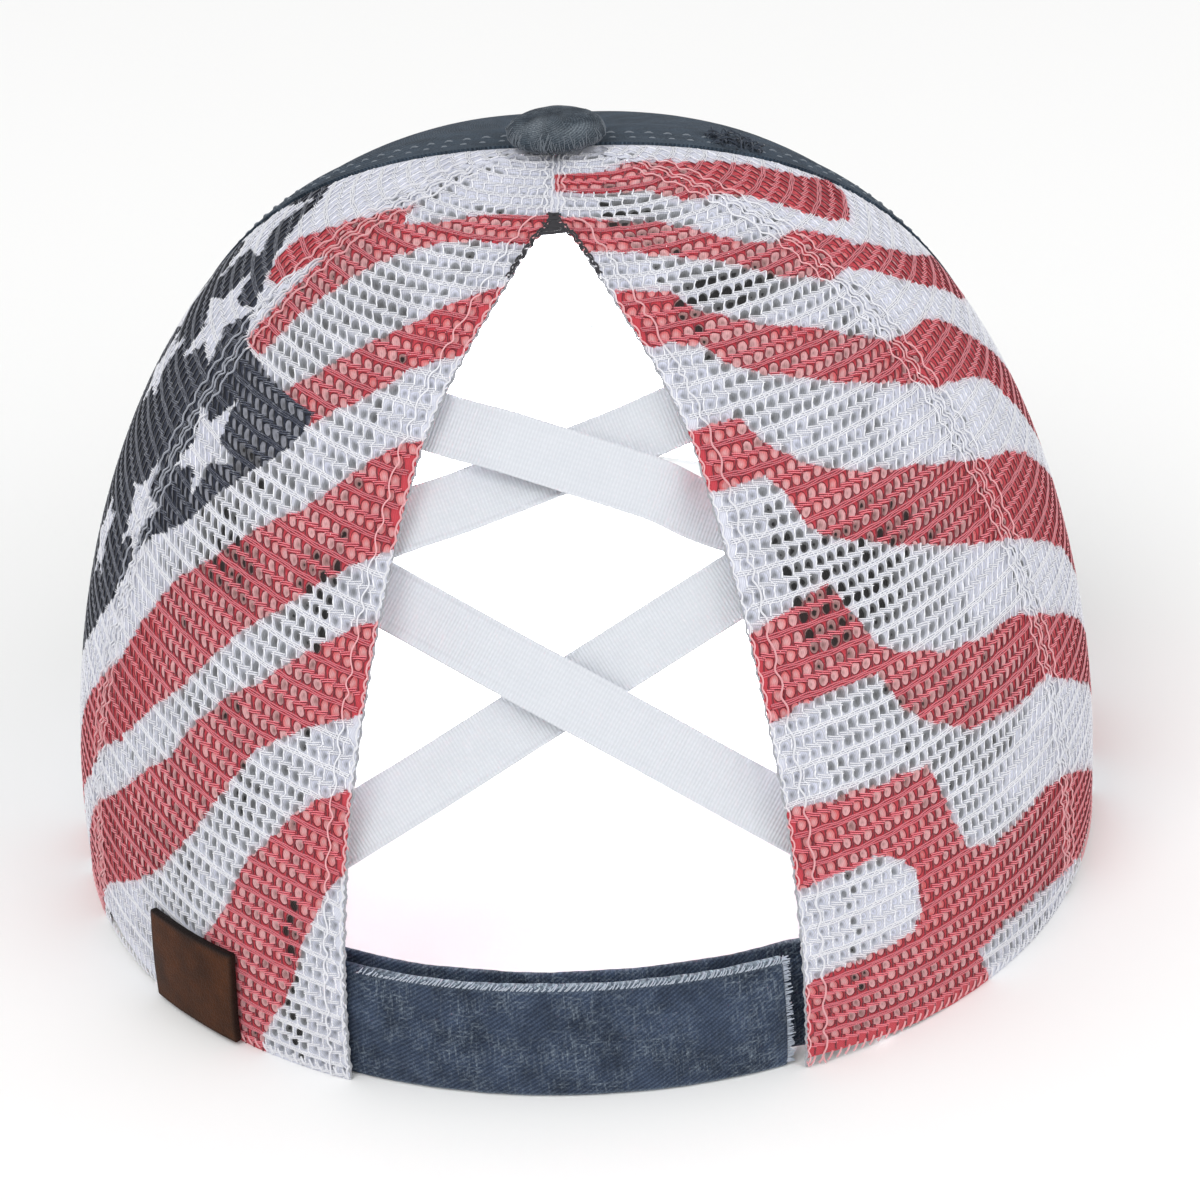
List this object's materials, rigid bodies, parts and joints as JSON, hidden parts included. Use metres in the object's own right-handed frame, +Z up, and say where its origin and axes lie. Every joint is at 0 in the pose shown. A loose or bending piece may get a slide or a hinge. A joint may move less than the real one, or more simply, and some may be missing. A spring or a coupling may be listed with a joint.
{
  "type": "ponytail baseball cap",
  "caption": "Baseball cap with printed net back, cotton front, curved visor and a strap-crossed ponytail opening.",
  "frame": {"origin": "on the table, under the middle of the cap's box", "axes": "+Z up, the visor points to -Y, the ponytail opening to +Y, the wearer's left side is +X"},
  "size_m": [0.1708, 0.2646, 0.1245],
  "materials": {
    "washed_cotton": "washed navy cotton twill, worn pale at its edges",
    "printed_netting": "open white netting printed with red and white stripes and a navy corner with white stars",
    "white_elastic": "white ribbed elastic",
    "white_band": "white cotton sweatband",
    "black_patch": "dark hook and loop",
    "brown_leather": "bare brown leather"
  },
  "bodies": {
    "root": {"front_panel_left": "washed_cotton", "front_panel_right": "washed_cotton", "side_panel_left": "printed_netting", "side_panel_right": "printed_netting", "back_panel_left": "printed_netting", "back_panel_right": "printed_netting", "top_button": "washed_cotton", "visor": "washed_cotton", "sweatband": "white_band", "closure_strap_outer": "washed_cotton", "closure_strap_inner": "washed_cotton", "closure_patch": "black_patch", "cross_strap_upper_front": "white_elastic", "cross_strap_upper_behind": "white_elastic", "cross_strap_lower_front": "white_elastic", "cross_strap_lower_behind": "white_elastic", "leather_label": "brown_leather"}
  },
  "joints": []
}
